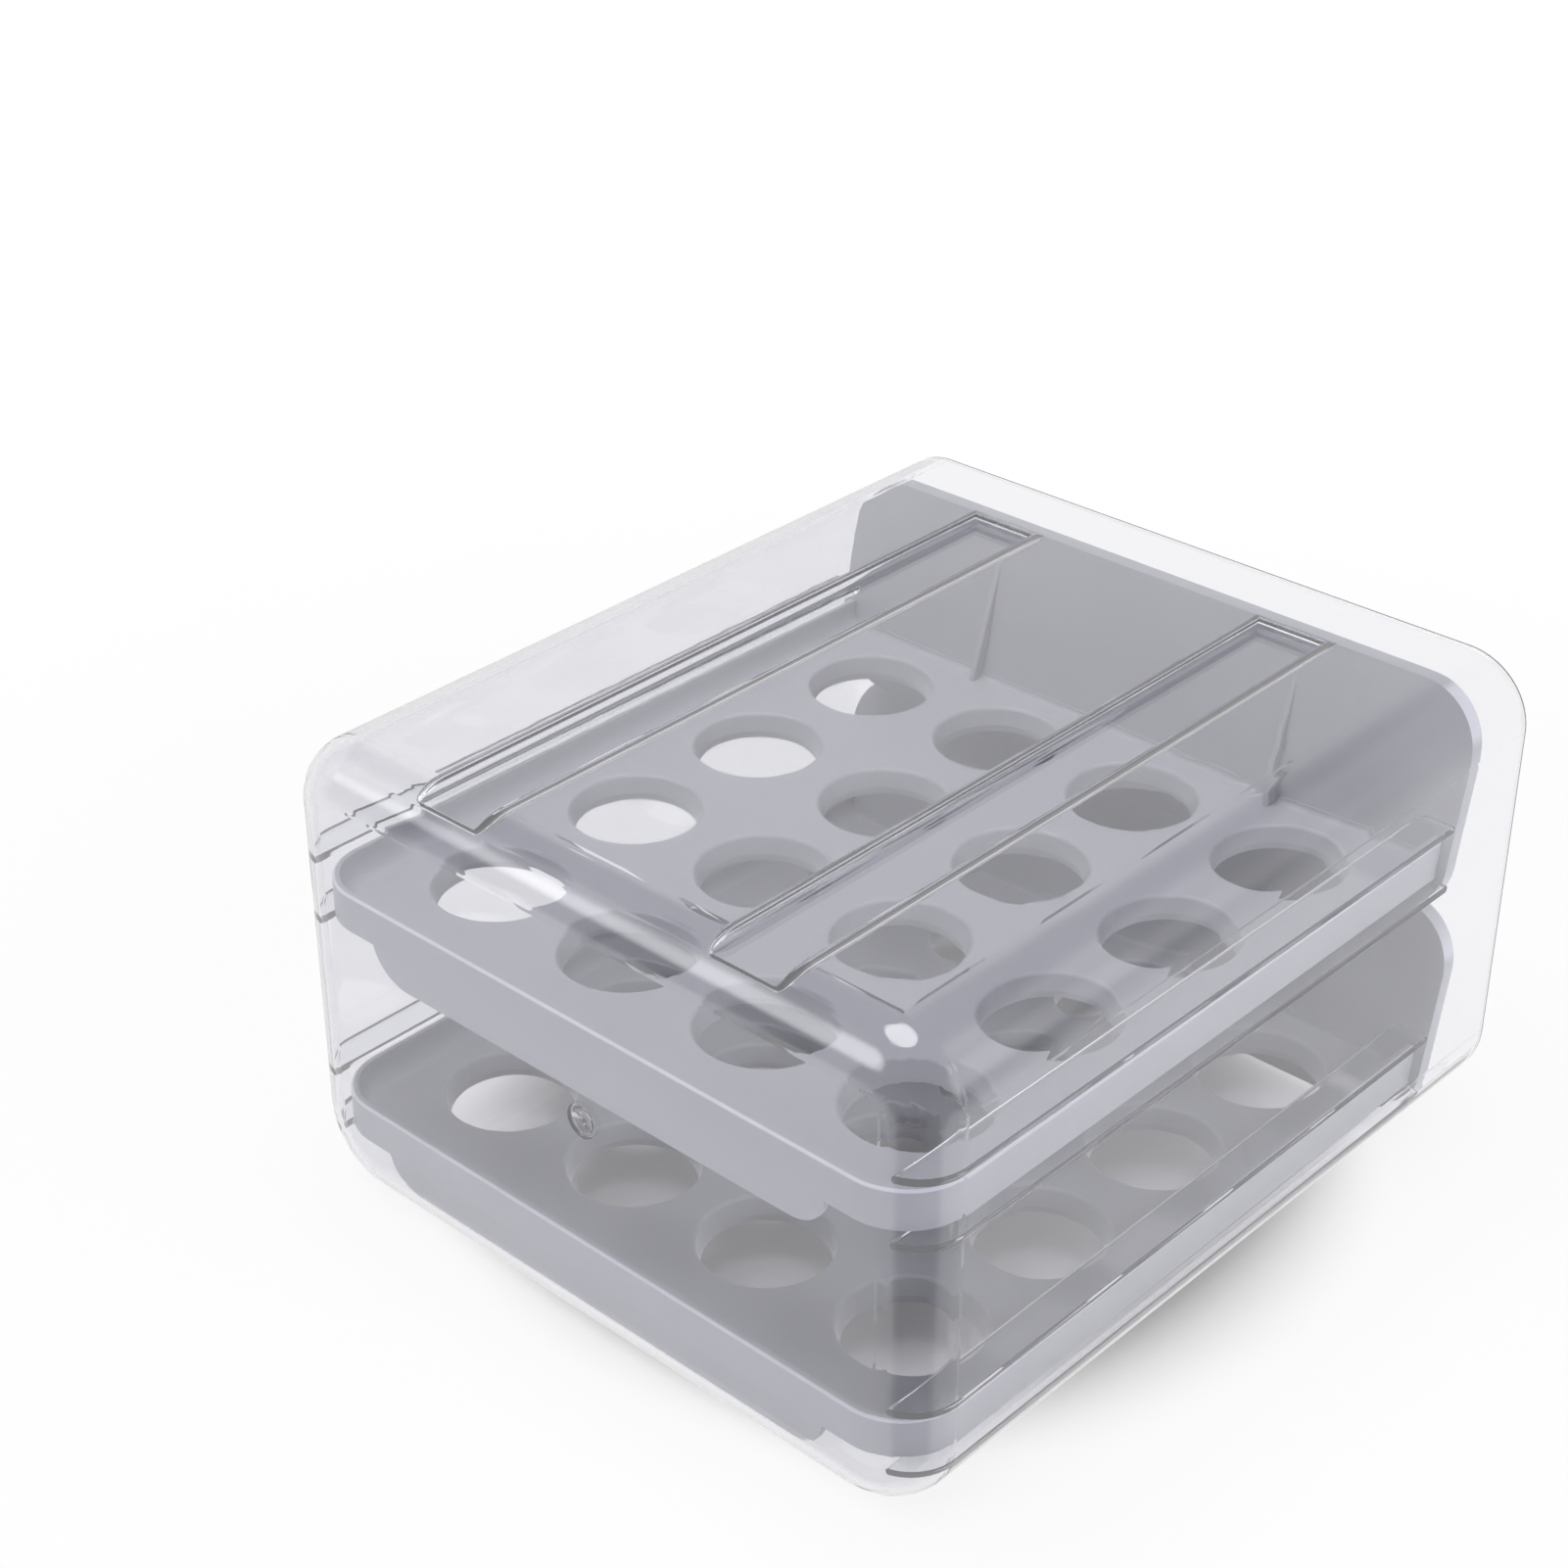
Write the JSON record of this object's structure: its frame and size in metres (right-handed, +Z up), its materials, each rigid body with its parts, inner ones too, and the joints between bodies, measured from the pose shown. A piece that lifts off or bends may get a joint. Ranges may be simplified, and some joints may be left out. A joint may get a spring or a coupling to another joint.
{
  "type": "egg storage drawer",
  "caption": "Two-tier egg storage box: a clear case with rounded closed back and open mouth, and grey holed drawers with tall leaning fronts that slide out on rails.",
  "frame": {"origin": "middle of the case's flat underside, at the centre of the object's bounding box", "axes": "+Y towards the closed back wall, -Y towards the open mouth and the way the drawers slide out, +Z up"},
  "size_m": [0.225, 0.2512, 0.143],
  "materials": {
    "clear_plastic": "clear, gloss moulded",
    "grey_plastic": "satin moulded"
  },
  "bodies": {
    "case": {"clear_case": "clear_plastic"},
    "upper_drawer": {"upper_drawer": "grey_plastic"},
    "lower_drawer": {"lower_drawer": "grey_plastic"}
  },
  "joints": [
    {"name": "upper_drawer_slide", "type": "slide", "parent": "case", "child": "upper_drawer", "axis": [0, -1, 0], "range_m": [0, 0.2]},
    {"name": "lower_drawer_slide", "type": "slide", "parent": "case", "child": "lower_drawer", "axis": [0, -1, 0], "range_m": [0, 0.2]}
  ]
}
